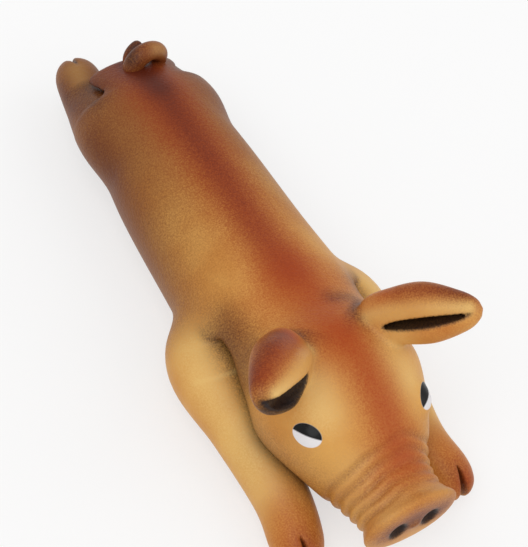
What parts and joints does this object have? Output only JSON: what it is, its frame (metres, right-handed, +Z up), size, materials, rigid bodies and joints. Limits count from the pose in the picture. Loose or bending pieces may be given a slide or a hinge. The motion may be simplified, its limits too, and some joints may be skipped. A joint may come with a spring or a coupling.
{
  "type": "squeaky dog toy",
  "caption": "Hollow latex piglet lying on its belly, squeezed at the back to blow a reed squeaker set in the belly; its head, ears, legs and curled tail bend.",
  "frame": {"origin": "on the belly's flat rest, at floor level, on the body's mid-plane", "axes": "+Z up, the piglet faces -Y, its left side is +X"},
  "size_m": [0.0902, 0.245, 0.0797],
  "materials": {
    "latex_body": "satin airbrushed latex, amber with a red-brown spine",
    "latex_ear": "satin airbrushed latex, red-brown with a pale rim",
    "squeaker_plastic": "off-white moulded plastic",
    "reed_brass": "rolled brass strip"
  },
  "bodies": {
    "torso": {"torso_skin": "latex_body", "squeaker_barrel": "squeaker_plastic", "reed_block": "squeaker_plastic", "reed_wedge": "squeaker_plastic"},
    "back": {"back_skin": "latex_body"},
    "head": {"head_skin": "latex_body"},
    "left_ear": {"left_ear": "latex_ear"},
    "right_ear": {"right_ear": "latex_ear"},
    "left_foreleg": {"left_foreleg": "latex_body"},
    "right_foreleg": {"right_foreleg": "latex_body"},
    "left_hind_leg": {"left_hind_leg": "latex_body"},
    "right_hind_leg": {"right_hind_leg": "latex_body"},
    "tail": {"tail": "latex_body"},
    "reed": {"reed": "reed_brass"}
  },
  "joints": [
    {"name": "squeeze", "type": "slide", "parent": "torso", "child": "back", "axis": [0, 0, -1], "range_m": [0, 0.012], "stiffness_N_per_m": 600},
    {"name": "neck_lift", "type": "hinge", "parent": "torso", "child": "head", "pos_m": [0, -0.052, 0.031], "axis": [-1, 0, 0], "range_deg": [0, 12], "stiffness_Nm_per_rad": 1},
    {"name": "left_ear_flap", "type": "hinge", "parent": "head", "child": "left_ear", "pos_m": [0.019, -0.061, 0.057], "axis": [-0.6101, -0.7923, 0], "range_deg": [-15, 15], "stiffness_Nm_per_rad": 0.06},
    {"name": "right_ear_flap", "type": "hinge", "parent": "head", "child": "right_ear", "pos_m": [-0.019, -0.061, 0.057], "axis": [-0.6101, 0.7923, 0], "range_deg": [-15, 15], "stiffness_Nm_per_rad": 0.06},
    {"name": "left_shoulder", "type": "hinge", "parent": "torso", "child": "left_foreleg", "pos_m": [0.028, -0.032, 0.018], "axis": [0, 0, 1], "range_deg": [0, 15], "stiffness_Nm_per_rad": 0.2},
    {"name": "right_shoulder", "type": "hinge", "parent": "torso", "child": "right_foreleg", "pos_m": [-0.028, -0.032, 0.018], "axis": [0, 0, -1], "range_deg": [0, 15], "stiffness_Nm_per_rad": 0.2},
    {"name": "left_hip", "type": "hinge", "parent": "torso", "child": "left_hind_leg", "pos_m": [0.0165, 0.073, 0.026], "axis": [0, 0, -1], "range_deg": [0, 15], "stiffness_Nm_per_rad": 0.2},
    {"name": "right_hip", "type": "hinge", "parent": "torso", "child": "right_hind_leg", "pos_m": [-0.0165, 0.073, 0.026], "axis": [0, 0, 1], "range_deg": [0, 15], "stiffness_Nm_per_rad": 0.2},
    {"name": "tail_wag", "type": "hinge", "parent": "torso", "child": "tail", "pos_m": [-0.00078, 0.09, 0.04174], "axis": [0, 0, 1], "range_deg": [-20, 20], "stiffness_Nm_per_rad": 0.03},
    {"name": "reed_beat", "type": "hinge", "parent": "torso", "child": "reed", "pos_m": [0, 0.0215, 0.0123], "axis": [-1, 0, 0], "range_deg": [0, 4], "stiffness_Nm_per_rad": 0.0002}
  ]
}
